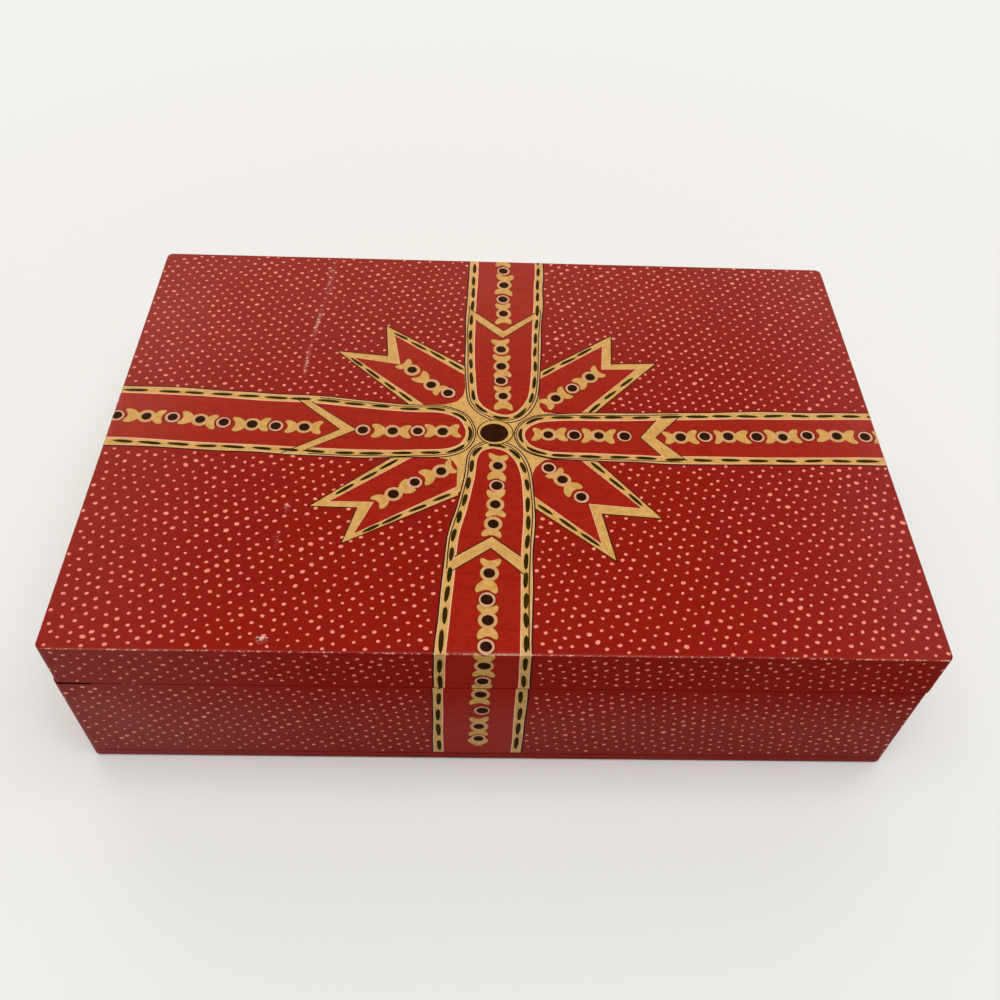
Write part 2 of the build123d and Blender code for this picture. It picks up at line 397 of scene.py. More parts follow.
def build_varnish():
    """How much the varnish shines. Hands dulled the front wall, least at its left end and low down."""
    tree, given, result = new_group("varnish", [("Amount", "Float", 0.2)], [("Gloss", "Float")])
    place = object_place(tree)
    x, y, z = split(tree, place)
    front = calc(tree, "SUBTRACT", 1.0, ramp(tree, y, FRONT_FACE + 0.0001, FRONT_FACE + 0.0006))
    right = calc(tree, "MULTIPLY", ramp(tree, x, *FADE_RIGHT), RIGHT_LOSS)
    upper = calc(tree, "MULTIPLY", ramp(tree, z, *FADE_UP), UPPER_LOSS)
    lost = calc(tree, "SUBTRACT", calc(tree, "ADD", right, upper), UNSEEN_LOSS, clamp=True)
    kept = calc(tree, "SUBTRACT", 1.0, calc(tree, "MULTIPLY", front, lost))
    uneven = calc(tree, "ADD", 0.75, calc(tree, "MULTIPLY", speckle(tree, place, 22.0, 3.0), 0.5))
    gloss = calc(tree, "MULTIPLY", given["Amount"], calc(tree, "MULTIPLY", kept, uneven))
    tree.links.new(gloss, result["Gloss"])
    return tree


varnish = build_varnish()
print(varnish.name, "has", len(varnish.nodes), "nodes")

# %% A cluster of small chips


def build_chips():
    """Where the top coat has flaked off round a point: pale specks, and a dull scuff about them."""
    tree, given, result = new_group(
        "chips",
        [("Centre", "Vector", (0, 0, 0)), ("Reach", "Vector", (0.002, 0.002, 0.002)),
         ("Lean", "Float", 0.0), ("Scale", "Float", 900.0), ("Amount", "Float", 0.3)],
        [("Mask", "Float"), ("Scuff", "Float")],
    )
    place = object_place(tree)
    x, y, z = split(tree, vector_calc(tree, "SUBTRACT", place, given["Centre"]))
    x = calc(tree, "SUBTRACT", x, calc(tree, "MULTIPLY", y, given["Lean"]))
    leaning = add_node(tree, "ShaderNodeCombineXYZ", {0: x, 1: y, 2: z}).outputs[0]
    far = vector_calc(tree, "LENGTH", vector_calc(tree, "DIVIDE", leaning, given["Reach"]))
    near = calc(tree, "SUBTRACT", 1.0, far, clamp=True)
    inside = ramp(tree, near, 0.0, 0.25)
    flakes = speckle(tree, place, given["Scale"], 3.0, 0.7)
    worn = calc(tree, "ADD", flakes, calc(tree, "MULTIPLY", near, given["Amount"]))
    tree.links.new(calc(tree, "MULTIPLY", ramp(tree, worn, 0.7, 0.76), inside), result["Mask"])
    tree.links.new(calc(tree, "MULTIPLY", ramp(tree, worn, 0.5, 0.8), inside), result["Scuff"])
    return tree


chips = build_chips()
print(chips.name, "has", len(chips.nodes), "nodes")

# %% [markdown]
# ## Red lacquer
# The boards were primed, painted red and varnished until they shone. A clear coat over a deep red
# gives that gloss, and the paint under it has no shine of its own.
# The wood still moves a little, so the gloss waves gently.
# The same material knows where it is on the box: black paint inside, worn cream specks
# along the edges with a pale line that is partly worn paint and partly painted highlight, a trail of
# small chips and scuffs across the left of the lid, and a painted shadow where the joint stands open.

# %% Mix the lacquer
LACQUER_RED = rgb(152, 28, 13)
LACQUER_DEEP = rgb(130, 17, 9)
LACQUER_GRAIN = rgb(112, 14, 8)
INSIDE_BLACK = rgb(30, 25, 23)
INSIDE_RUBBED = rgb(52, 44, 40)
# cream where the edges are worn bare; on the ornament it also serves as a painted highlight along the
# edge
BARE_EDGE_AND_HIGHLIGHT = rgb(238, 194, 160)
# a pale red line along the edges: partly paint rubbed thin, partly a painted highlight
THIN_EDGE_AND_HIGHLIGHT = rgb(206, 92, 72)
FLAKED = rgb(232, 206, 192)
SCUFFED = rgb(170, 104, 92)
# near black: a painted shadow standing in for the shade inside the open stretch of the joint
OPEN_JOINT_SHADE = rgb(20, 8, 6)
# where the top coat came off: centre and reach in millimetres, how far the spot leans to the right
# towards the back, the scale of its flakes, how densely they lie and how plainly they show
CHIPPED = [
    ((-65.6, -84.8, 63.5), (2.5, 2.0, 3.0), 0.0, 1500, 0.27, 0.8),
    ((-64.6, -37.0, 63.5), (1.3, 3.2, 3.0), 0.0, 1200, 0.24, 0.5),
    ((-66.0, -50.0, 63.5), (1.5, 4.0, 3.0), 0.0, 1200, 0.18, 0.4),
    ((-66.3, 29.0, 63.5), (1.3, 11.0, 3.0), 0.03, 1300, 0.27, 0.6),
    ((-64.8, 50.0, 63.5), (1.4, 17.0, 3.0), 0.08, 1500, 0.25, 0.55),
    ((-62.6, 76.0, 63.5), (2.0, 17.0, 3.0), 0.03, 1300, 0.22, 0.4),
    ((-104.0, -88.9, 45.2), (9.0, 1.0, 0.45), 0.0, 900, 0.2, 0.5),
]
# the joint stands open a little at its front left end, and the shade inside it is painted there: lowest
# and highest corner of that stretch
JOINT_LOW, JOINT_HIGH = (-126.2, -90, 44.75), (-115.8, -88.7, 45.6)
# the rims at the seam stay sharp and painted, so the corners that wear is measured from lie past them
PAST_SEAM = Vector((0, 0, 50))
WEAR = dict(Amount=0.42, Scale=1100.0)


def metres(place):
    """A place given in millimetres, as a shader wants it."""
    return tuple(part * MM for part in place)


def chipped(tree, colour):
    """A colour with the chips and scuffs over it."""
    for centre, reach, lean, scale, amount, strength in CHIPPED:
        flaked = use_group(tree, chips, Centre=metres(centre), Reach=metres(reach), Lean=lean,
                           Scale=scale, Amount=amount)
        colour = blend(tree, calc(tree, "MULTIPLY", flaked["Scuff"], strength / 2), colour, SCUFFED)
        colour = blend(tree, calc(tree, "MULTIPLY", flaked["Mask"], strength), colour, FLAKED)
    return colour


def inside_paint(tree, coat):
    """The black paint of the hollow, rubbed grey along the grain."""
    grain = calc(tree, "ADD", 0.4, calc(tree, "MULTIPLY", coat["Grain"], 0.6))
    return blend(tree, calc(tree, "MULTIPLY", coat["Height"], grain), INSIDE_BLACK, INSIDE_RUBBED)


def mix_lacquer(name, low, high, hollow_low, hollow_high):
    """The red lacquer of one half of the box, with the black paint of its hollow."""
    material, tree, shader = new_material(name)
    coat = use_group(tree, uneven_paint, Cloud_Scale=16.0, Fleck_Scale=700.0)
    worn = use_group(tree, edge_wear_and_highlight, Low=metres(low), High=metres(high), Reach=0.0006, **WEAR)
    gap = use_group(tree, region, Low=metres(JOINT_LOW), High=metres(JOINT_HIGH), Soft=0.0001)["Mask"]
    hollow = use_group(tree, region, Low=metres(hollow_low), High=metres(hollow_high),
                       Soft=0.0001)["Mask"]
    colour = blend(tree, calc(tree, "MULTIPLY", coat["Height"], 0.9), LACQUER_DEEP, LACQUER_RED)
    colour = blend(tree, calc(tree, "MULTIPLY", coat["Grain"], 0.3), colour, LACQUER_GRAIN)
    # the pale line along the edges is partly worn paint and partly a painted highlight
    colour = blend(tree, worn["Thin"], colour, THIN_EDGE_AND_HIGHLIGHT)
    colour = blend(tree, worn["Mask"], colour, BARE_EDGE_AND_HIGHLIGHT)
    # the open stretch of the joint gets the painted shadow
    colour = blend(tree, gap, chipped(tree, colour), OPEN_JOINT_SHADE)
    rough = calc(tree, "ADD", 0.3, calc(tree, "MULTIPLY", coat["Fleck"], 0.16))
    gloss = use_group(tree, varnish, Amount=0.37)["Gloss"]
    for bare, share in ((hollow, 0.2), (worn["Mask"], 0.25), (gap, 0.37)):
        gloss = calc(tree, "SUBTRACT", gloss, calc(tree, "MULTIPLY", bare, share), clamp=True)
    set_inputs(tree, shader, {
        "Base Color": blend(tree, hollow, colour, inside_paint(tree, coat)),
        "Roughness": calc(tree, "ADD", rough, calc(tree, "MULTIPLY", hollow, 0.25)),
        "Coat Weight": gloss,
        "Coat Roughness": 0.22,
        "Specular IOR Level": 0.0,
        "Normal": bumped(tree, coat["Height"], 0.12, 0.0006),
    })
    return material


BEHIND = 0.05  # the black paint starts this little behind the inner faces
hollow_x = (lid_low.x + WALL - BEHIND, lid_high.x - WALL + BEHIND)
hollow_y = (lid_low.y + WALL - BEHIND, lid_high.y - WALL + BEHIND)
lid_lacquer = mix_lacquer(
    "lid_lacquer", lid_low - PAST_SEAM, lid_high,
    (hollow_x[0], hollow_y[0], lid_low.z - 1), (hollow_x[1], hollow_y[1], panel_low.z + BEHIND),
)
base_lacquer = mix_lacquer(
    "base_lacquer", base_low, base_high + PAST_SEAM,
    (hollow_x[0] - side_set, hollow_y[0], bottom_high.z - BEHIND),
    (hollow_x[1] - side_set, hollow_y[1], base_high.z + 1),
)
print("lacquer of the lid:", len(lid_lacquer.node_tree.nodes), "nodes")

# %% [markdown]
# ## Brass and steel
# The hinges and their screws are plain brass that has dulled with handling, the hinge pins are drawn
# steel wire and the nails under the bottom board are black cut steel.
# One function mixes all of them: a metal with an uneven polish and a darker tarnish in clouds.

# %% Mix the metals


def mix_metal(name, bright, tarnish, cover, roughness):
    """A bare metal with clouds of tarnish and a fine uneven polish."""
    material, tree, shader = new_material(name)
    coat = use_group(tree, uneven_paint, Cloud_Scale=220.0, Fleck_Scale=2600.0)
    clouds = ramp(tree, coat["Height"], 0.62 - cover / 3, 0.72 - cover / 3)
    set_inputs(tree, shader, {
        "Base Color": blend(tree, clouds, bright, tarnish),
        "Roughness": calc(tree, "ADD", roughness, calc(tree, "MULTIPLY", clouds, 0.2)),
        "Metallic": calc(tree, "SUBTRACT", 1.0, calc(tree, "MULTIPLY", clouds, 0.35)),
        "Normal": bumped(tree, coat["Fleck"], 0.25, 0.00005),
    })
    return material


hinge_brass = mix_metal("hinge_brass", rgb(214, 178, 110), rgb(132, 96, 48), 0.45, 0.28)
screw_brass = mix_metal("screw_brass", rgb(206, 168, 100), rgb(112, 82, 44), 0.5, 0.32)
pin_steel = mix_metal("pin_steel", rgb(188, 188, 186), rgb(110, 106, 100), 0.3, 0.25)
nail_steel = mix_metal("nail_steel", rgb(120, 118, 114), rgb(58, 50, 46), 0.6, 0.45)
print("materials so far:", [material.name for material in bpy.data.materials])

# %% Dress the frame's own pieces
HINGES = ("left_hinge", "right_hinge")
FINISHES = [
    (LID_BOARDS, lid_lacquer),
    (BASE_BOARDS, base_lacquer),
    ([f"{hinge}_{half}_leaf" for hinge in HINGES for half in ("base", "lid")], hinge_brass),
    ([f"{hinge}_{half}_screws" for hinge in HINGES for half in ("base", "lid")], screw_brass),
    ([f"{hinge}_pin" for hinge in HINGES], pin_steel),
    (["bottom_nails"], nail_steel),
]
for nodes, material in FINISHES:
    for node in nodes:
        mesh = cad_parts[node].data
        mesh.materials.clear()
        mesh.materials.append(material)
print("dressed", sum(len(nodes) for nodes, _ in FINISHES), "of", len(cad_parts), "pieces")

# %% [markdown]
# ## Paints for the ornament
# The ribbon is ochre gold with a paler, pinkish edge where the paint was drawn out thin.
# The edge needs a colour that follows the brush stroke, so each stroke carries a value called
# from_edge, its distance in millimetres from the nearer side of the stroke, and the paint reads it.
# The other paints are plain poster colours under the same varnish.

# %% Mix the ornament paints
PALE_EDGE_WIDTH = 0.5
FULL_GLOSS = 0.42
DARK_GLOSS = 0.14  # the same varnish shines less over the dark paints


def mix_paint(name, colour, second, edge=None, gloss=FULL_GLOSS, grain=0.0):
    """A poster paint under varnish. One with an edge colour turns to it along each stroke's side."""
    material, tree, shader = new_material(name)
    coat = use_group(tree, uneven_paint, Cloud_Scale=560.0, Fleck_Scale=2200.0)
    paint = blend(tree, ramp(tree, coat["Height"], 0.34, 0.66), rgb(*colour), rgb(*second))
    if edge:
        from_edge = add_node(tree, "ShaderNodeAttribute", attribute_name="from_edge").outputs["Fac"]
        paint = blend(tree, ramp(tree, from_edge, 0.1, PALE_EDGE_WIDTH), rgb(*edge), paint)
    if grain:
        paint = blend(tree, calc(tree, "MULTIPLY", coat["Grain"], grain), paint, LACQUER_GRAIN)
    worn = use_group(tree, edge_wear_and_highlight, Low=metres(lid_low - PAST_SEAM), High=metres(lid_high),
                     Reach=0.0007, **WEAR)
    # the ornament turns cream where its edges are worn bare, and along the thin line this cream is a
    # painted highlight on the rounded edge
    rubbed = calc(tree, "MAXIMUM", worn["Mask"], calc(tree, "MULTIPLY", worn["Thin"], 0.8))
    set_inputs(tree, shader, {
        "Base Color": blend(tree, rubbed, paint, BARE_EDGE_AND_HIGHLIGHT),
        "Roughness": calc(tree, "ADD", 0.32, calc(tree, "MULTIPLY", coat["Fleck"], 0.2)),
        "Coat Weight": use_group(tree, varnish, Amount=gloss)["Gloss"],
        "Coat Roughness": 0.24,
        "Specular IOR Level": 0.0,
        "Normal": bumped(tree, coat["Fleck"], 0.1, 0.00008),
    })
    return material


PAINTS = {
    "gold_paint": dict(colour=(196, 150, 78), second=(216, 170, 100), edge=(236, 186, 150)),
    "wing_paint": dict(colour=(194, 146, 72), second=(214, 166, 94), edge=(240, 158, 124)),
    "lobe_paint": dict(colour=(208, 162, 108), second=(196, 150, 94), edge=(224, 164, 124)),
    "ring_paint": dict(colour=(220, 166, 134), second=(206, 150, 118), edge=(226, 164, 132)),
    "field_paint": dict(colour=(150, 25, 10), second=(162, 32, 13), grain=0.3),
    "dash_paint": dict(colour=(56, 42, 8), second=(38, 26, 4), gloss=DARK_GLOSS),
    "line_paint": dict(colour=(52, 32, 8), second=(38, 22, 4), gloss=DARK_GLOSS),
    "bead_paint": dict(colour=(50, 22, 8), second=(38, 16, 6), gloss=DARK_GLOSS),
    "halo_paint": dict(colour=(112, 36, 10), second=(92, 26, 6), gloss=DARK_GLOSS),
    "dot_paint": dict(colour=(234, 132, 110), second=(242, 152, 126)),
}
paints = {name: mix_paint(name, **given) for name, given in PAINTS.items()}
print("paints:", list(paints))

# %% [markdown]
# ## From a flat layout to the box
# A painter draws the ribbon across the lid and carries it straight on down the sides.
# So each layer of paint is first made flat, on a plan in millimetres in which the four sides
# are folded out level with the lid. It is then cut where the box folds and where it opens,
# and bent over the rounded edge, like a sheet of paper round a parcel.

# %% Fold the plan over the edges
QUARTER_TURN = TOP_ROUND * pi / 2
UNDERSIDE = -0.01  # a layer of paint starts this little below the surface that it lies on


def past_edges(x, y):
    """How far a point of the plan lies past the start of the rounded edge, and on which side."""
    return max(
        (lid_low.x + TOP_ROUND - x, "left"),
        (x - lid_high.x + TOP_ROUND, "right"),
        (lid_low.y + TOP_ROUND - y, "front"),
        (y - lid_high.y + TOP_ROUND, "back"),
    )


def plan_distance(height):
    """How far past the start of the edge the plan shows a height on the side of the box."""
    return QUARTER_TURN + lid_high.z - TOP_ROUND - height


def over_edge(distance, lift):
    """Steps outwards and down that lead from the start of the edge to a point past it."""
    if distance <= 0:
        return distance, -lift
    if distance < QUARTER_TURN:
        turn = distance / TOP_ROUND
        reach = TOP_ROUND + lift
        return reach * sin(turn), TOP_ROUND - reach * cos(turn)
    return TOP_ROUND + lift, TOP_ROUND + distance - QUARTER_TURN


def laid(point, slide):
    """A point of the plan, with its height above the surface, on the box in metres."""
    x, y, lift = point
    distance, side = past_edges(x, y)
    outwards, down = over_edge(distance, lift)
    if side == "left":
        x = lid_low.x + TOP_ROUND - outwards
    elif side == "right":
        x = lid_high.x - TOP_ROUND + outwards
    elif side == "front":
        y = lid_low.y + TOP_ROUND - outwards
    else:
        y = lid_high.y - TOP_ROUND + outwards
    return Vector((x + slide, y, lid_high.z - down)) * MM


seam_ends = {}
for side in ("left", "right", "front", "back"):
    bevel = BACK_BEVEL_RISE if side == "back" else 0.0
    lid_end = plan_distance(lid_low.z + RIM_EASE + bevel)
    base_start = plan_distance(base_high.z - RIM_EASE - bevel)
    seam_ends[side] = (lid_end, base_start)
    print("seam on the", side, "at", round(lid_end, 2), "and", round(base_start, 2), "on the plan")
RIBBON_FOOT = 0.9  # the ribbon stops this far above the bottom board
ribbon_end = plan_distance(bottom_high.z + RIBBON_FOOT)

# %% Cut, bend and hand over a layer
OUTWARD = {"left": Vector((-1, 0, 0)), "right": Vector((1, 0, 0)), "front": Vector((0, -1, 0)),
           "back": Vector((0, 1, 0))}
EDGE_START = {"left": -lid_low.x - TOP_ROUND, "right": lid_high.x - TOP_ROUND,
              "front": -lid_low.y - TOP_ROUND, "back": lid_high.y - TOP_ROUND}
SHARP_ANGLE = radians(35)


def body_at(x, y):
    """The half of the box that a point of the plan lies on, or nothing in the gap between them."""
    distance, side = past_edges(x, y)
    lid_end, base_start = seam_ends[side]
    if distance < lid_end:
        return "lid"
    return "base" if distance > base_start else ""


def finish_piece(name, bm, material, body):
    """Turns a finished shape into an object that rides on a half of the box."""
    mesh = bpy.data.meshes.new(name)
    bm.to_mesh(mesh)
    bm.free()
    mesh.shade_smooth()
    mesh.set_sharp_from_angle(angle=SHARP_ANGLE)
    mesh.materials.append(material)
    piece = bpy.data.objects.new(name, mesh)
    bpy.context.scene.collection.objects.link(piece)
    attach(piece, body)
    print(name, len(mesh.polygons), "faces")


def put_on_box(name, flat, material):
    """Cuts a flat layer at the folds and at the seam, bends it on and lets each half ride on its body."""
    for side, outward in OUTWARD.items():
        for step in (0, QUARTER_TURN / 3, 2 * QUARTER_TURN / 3, QUARTER_TURN, *seam_ends[side]):
            geom = list(flat.verts) + list(flat.edges) + list(flat.faces)
            bmesh.ops.bisect_plane(flat, geom=geom, plane_co=outward * (EDGE_START[side] + step),
                                   plane_no=outward, dist=1e-5)
    for body in ("lid", "base"):
        part = flat.copy()
        others = [face for face in part.faces if body_at(*face.calc_center_median().xy) != body]
        bmesh.ops.delete(part, geom=others, context="FACES")
        if not part.faces:
            part.free()
            continue
        bmesh.ops.holes_fill(part, edges=[edge for edge in part.edges if edge.is_boundary])
        bmesh.ops.recalc_face_normals(part, faces=part.faces)
        slide = 0.0 if body == "lid" else -side_set
        for vert in part.verts:
            vert.co = laid(vert.co, slide)
        finish_piece(f"{name}_{body}", part, material, body)
    flat.free()


# %% [markdown]
# ## The ways to put paint down
# There are only a few kinds of mark on this box. A band runs between two lines, with straight or
# curved sides. A patch fills an outline. A drop is round. Each one becomes a thin solid;
# bands and drops are a little thicker in the middle, as paint dries, and a patch lies flat.

# %% Lines that a brush would follow


def span(before, start, end, after, step):
    """Points after the second of four points, up to the third, along the smooth line through them all."""
    count = max(2, round((end - start).length / step) + 1)
    first = start + (end - before) / 6
    second = end - (after - start) / 6
    bent = geometry.interpolate_bezier(start.to_3d(), first.to_3d(), second.to_3d(), end.to_3d(), count)
    return [point.to_2d() for point in bent[1:]]


def smooth_line(points, step=1.5):
    """Points close together along the smooth line that a hand draws through the given ones."""
    given = [Vector(point) for point in points]
    given = [2 * given[0] - given[1], *given, 2 * given[-1] - given[-2]]
    line = [given[1]]
    for four in zip(given, given[1:], given[2:], given[3:]):
        line += span(*four, step)
    return line


def smooth_loop(points, step=0.4):
    """The smooth closed outline through the given points."""
    given = [Vector(point) for point in points]
    turned = [given[n:] + given[:n] for n in (-1, 0, 1, 2)]
    return [point for four in zip(*turned) for point in span(*four, step)]


def straight_line(start, end, step=2.0):
    """Points along a straight line."""
    start, end = Vector(start), Vector(end)
    count = max(1, round((end - start).length / step))
    return [start.lerp(end, n / count) for n in range(count + 1)]


def side_normals(line):
    """Unit steps to the left of a line's direction, one for each of its points."""
    normals = []
    for n in range(len(line)):
        ahead = line[min(n + 1, len(line) - 1)] - line[max(n - 1, 0)]
        normals.append(Vector((-ahead.y, ahead.x)).normalized())
    return normals


def beside(line, distance, waver=0.0, seed=0.0):
    """A line that runs beside another one, to its left, with the waver of a painting hand."""
    made = []
    run = 0.0
    for n, (point, normal) in enumerate(zip(line, side_normals(line))):
        run += (point - line[n - 1]).length if n else 0.0
        made.append(point + normal * (distance + waver * noise.noise(Vector((run / 16, seed, 0.5)))))
    return made


# %% How high each paint lies
# in millimetres above the lacquer: what was painted over something else lies higher
LIFT = {
    "tail field": 0.012,
    "web": 0.02,
    "arm field": 0.03,
    "wing halo": 0.035,
    "tail border": 0.036,
    "bead halo": 0.04,
    "tail outline": 0.047,
    "arm border": 0.05,
    "chevron": 0.06,
    "wing": 0.06,
    "dot": 0.06,
    "arm outline": 0.062,
    "middle outline": 0.062,
    "chevron outline": 0.066,
    "ring": 0.068,
    "middle ring": 0.072,
    "dash": 0.075,
    "middle groove": 0.076,
    "bead": 0.09,
    "middle bead": 0.092,
}
print("thickest paint, mm:", max(LIFT.values()))

# %% Bands


def new_layer():
    """An empty flat layer whose points carry their distance from the side of their stroke."""
    bm = bmesh.new()
    bm.verts.layers.float.new("from_edge")
    return bm


def give_body(bm, faces):
    """Makes a thin solid of a sheet of faces, down to just below the surface."""
    grown = bmesh.ops.extrude_face_region(bm, geom=list(faces))["geom"]
    for vert in grown:
        if isinstance(vert, bmesh.types.BMVert):
            vert.co.z = UNDERSIDE


def band(bm, near, far, lift, wide=True):
    """A band of paint between two lines of equally many points, thickest along its middle."""
    from_edge = bm.verts.layers.float["from_edge"]
    steps = len(near) - 1
    width = sum((a - b).length for a, b in zip(near, far)) / len(near)
    pale = min(0.3, PALE_EDGE_WIDTH / width)
    shares = (0, pale, 0.5, 1 - pale, 1) if wide else (0, 1)
    made = bmesh.ops.create_grid(bm, x_segments=steps, y_segments=len(shares) - 1, size=1)["verts"]
    for n, vert in enumerate(made):
        row, place = divmod(n, steps + 1)
        share = shares[row]
        flat = near[place].lerp(far[place], share)
        thickness = lift * (0.8 + 0.2 * sin(pi * share))
        vert.co = (flat.x, flat.y, thickness)
        vert[from_edge] = min(share, 1 - share) * width
    give_body(bm, {face for vert in made for face in vert.link_faces})


print("the pale edge of a stroke is", PALE_EDGE_WIDTH, "mm wide")

# %% Patches and drops
DROP_SHOULDER = 0.22  # share of a drop's radius over which it falls away
DROP_RIM = 0.6  # share of its thickness that is left at its rim


def patch(bm, outline, lift, rim=0.0):
    """A flat patch of paint inside an outline, with a rim that knows how near the edge it is."""
    from_edge = bm.verts.layers.float["from_edge"]
    face = bm.faces.new([bm.verts.new((x, y, lift)) for x, y in outline])
    faces = {face}
    if rim:
        inset = bmesh.ops.inset_region(bm, faces=[face], thickness=rim, use_even_offset=True)
        faces.update(inset["faces"])
    for vert in face.verts:
        vert[from_edge] = PALE_EDGE_WIDTH
    give_body(bm, faces)


def drop(bm, x, y, radius, lift, stretch=1.0, turn=0.0, sides=20):
    """A round drop of paint, highest in the middle."""
    from_edge = bm.verts.layers.float["from_edge"]
    turned = Matrix.Translation((x, y, 0)) @ Matrix.Rotation(turn, 4, "Z")
    place = turned @ Matrix.Diagonal((stretch, 1, 1, 1))
    made = bmesh.ops.create_circle(bm, cap_ends=True, segments=sides, radius=radius, matrix=place)
    rim = made["verts"]
    face = rim[0].link_faces[0]
    inset = bmesh.ops.inset_region(bm, faces=[face], thickness=radius * DROP_SHOULDER)
    for vert in rim:
        vert.co.z = lift * DROP_RIM
    for vert in face.verts:
        vert.co.z = lift
        vert[from_edge] = PALE_EDGE_WIDTH
    give_body(bm, {face, *inset["faces"]})


print("a drop keeps", DROP_RIM, "of its thickness at its rim")


# %% [markdown]
# ## The ribbon
# Two ribbons cross on the lid. Each of their four arms is a red field with a round end near the middle,
# inside a gold border that runs along one side, round the end and back. The points below are the line
# between the red and the gold, in plan millimetres, in an order that keeps the border to the left.

# %% Lay out the four arms
far_left = -EDGE_START["left"] - ribbon_end
far_right = EDGE_START["right"] + ribbon_end
far_front = -EDGE_START["front"] - ribbon_end
far_back = EDGE_START["back"] + ribbon_end
ARMS = {
    "left": [(far_left, 12.0), (-126.7, 11.3), (-100.7, 10.4), (-75, 8.8), (-60, 8.2), (-45, 6.3),
             (-30, 5.0), (-20.5, 5.0), (-16.9, 4.3), (-13.7, 2.8), (-11.8, 0.6), (-10.4, -3.8),
             (-11.0, -7.0), (-12.6, -9.5), (-15, -10.9), (-18, -11.7), (-26, -12.2), (-45, -12.8),
             (-73, -11.7), (-100.7, -10.5), (-126.7, -9.4), (far_left, -9.0)],
    "right": [(far_right, -11.5), (126.5, -11.8), (91, -12.6), (56, -13.0), (45, -12.6), (20.6, -12.2),
              (16.2, -11.6), (12.5, -10.3), (10, -8.1), (8.9, -4.7), (10, -1.6), (12.5, 0.5), (15.6, 1.7),
              (25, 2.4), (45, 2.9), (60, 3.7), (91, 4.9), (126.5, 5.7), (far_right, 6.2)],
    "back": [(15.4, far_back), (14.9, 88), (14.1, 73), (13.8, 61), (12.9, 48), (12.2, 36), (11.8, 26),
             (11.4, 20), (10.6, 13.8), (9.2, 10), (7.6, 7.3), (5.6, 5.2), (2.8, 4.4), (0, 5.0),
             (-3.8, 7.5), (-5.7, 10), (-6.8, 13.8), (-7.5, 26), (-7.9, 42), (-7.6, 57), (-7.4, 67),
             (-6.9, 88), (-6.5, far_back)],
    "front": [(-15.1, far_front), (-14.9, -107), (-14.6, -88.9), (-13.9, -78), (-12.8, -63), (-11.9, -48),
              (-9.5, -36.3), (-7.3, -23.8), (-6.6, -16.2), (-5.6, -13.2), (-3.8, -11.6), (-1.0, -10.9),
              (2.5, -12.2), (5, -15), (6.6, -18.8), (7.5, -23.8), (7.8, -30), (7.8, -40), (7.0, -53),
              (6.3, -73), (5.9, -88.9), (6.2, -107), (6.4, far_front)],
}
BORDER_WIDTH = 3.3
INNER_WAVER = 0.25
OUTER_WAVER = 0.4
OUTER_SEED = 10  # the outer side of a border wavers in its own way, and its outline with it
arm_lines = {name: smooth_line(points) for name, points in ARMS.items()}
print("points along each arm:", {name: len(line) for name, line in arm_lines.items()})

# %% Paint the gold web under the middle
WEB = [(-11.3, 26), (-10.9, 17.5), (-11.6, 13.2), (-13.6, 10.3), (-18, 8.8), (-27, 8.4),
       (-27, -15.2), (-19, -15.6), (-14.5, -16.6), (-12.9, -19.5), (-12.9, -30),
       (10.9, -30), (11.2, -21.5), (12.3, -18.8), (15.2, -15.8), (19.5, -14.9), (27, -14.9),
       (27, 5.4), (20, 5.5), (15.8, 6.2), (14.4, 8.4), (14.2, 14), (14.6, 26)]
layer = new_layer()
patch(layer, WEB, LIFT["web"], rim=0.35)
put_on_box("middle_web", layer, paints["gold_paint"])

# %% Fill the arms with red
layer = new_layer()
for line in arm_lines.values():
    patch(layer, line, LIFT["arm field"])
put_on_box("arm_fields", layer, paints["field_paint"])

# %% [markdown]
# ## Four tails
# Between the arms lie four ribbon tails with a notch cut out of their ends.
# A tail is four bands of gold round a red field: two long sides, which run under the arms,
# and the two short sides of the notch. The bands lie between an outer and an inner line
# that turn at the same corners, so the corners come out sharp, as the painter drew them.

# %% Fill the tails with red
# outer corners, from one arm round the notch to the next arm, then the inner ones
TAILS = {
    "back_left": ([(-9.5, 27.0), (-40.0, 48.9), (-38.4, 32.6), (-56.2, 34.6), (-29.5, 8.2)],
                  [(-9.5, 22.5), (-36.6, 43.6), (-33.8, 28.4), (-50.2, 31.4), (-24.0, 7.8)]),
    "back_right": ([(14.0, 25.4), (41.6, 46.2), (40.4, 30.9), (56.4, 31.8), (31.5, 4.6)],
                   [(13.0, 21.0), (37.9, 40.4), (36.7, 28.0), (49.0, 28.5), (26.8, 4.4)]),
    "front_left": ([(-33.0, -15.0), (-58.2, -36.9), (-43.3, -37.2), (-46.9, -51.2), (-12.4, -31.5)],
                   [(-26.6, -15.0), (-52.0, -34.7), (-38.4, -34.7), (-43.4, -47.3), (-12.4, -27.5)]),
    "front_right": ([(31.0, -14.2), (50.8, -39.4), (32.2, -37.9), (35.4, -56.3), (10.4, -35.3)],
                    [(25.8, -14.2), (44.8, -35.4), (28.3, -33.9), (31.2, -49.6), (10.4, -30.4)]),
}
# where the red of a tail runs in under the gold in the middle
TAIL_ROOTS = {"back_left": (-10.5, 9.5), "back_right": (13.0, 8.5), "front_left": (-12.4, -16.5),
              "front_right": (11.0, -18.5)}
layer = new_layer()
for name, (_, inner) in TAILS.items():
    patch(layer, [*inner, TAIL_ROOTS[name]], LIFT["tail field"])
put_on_box("tail_fields", layer, paints["field_paint"])

# %% Paint the borders of the tails


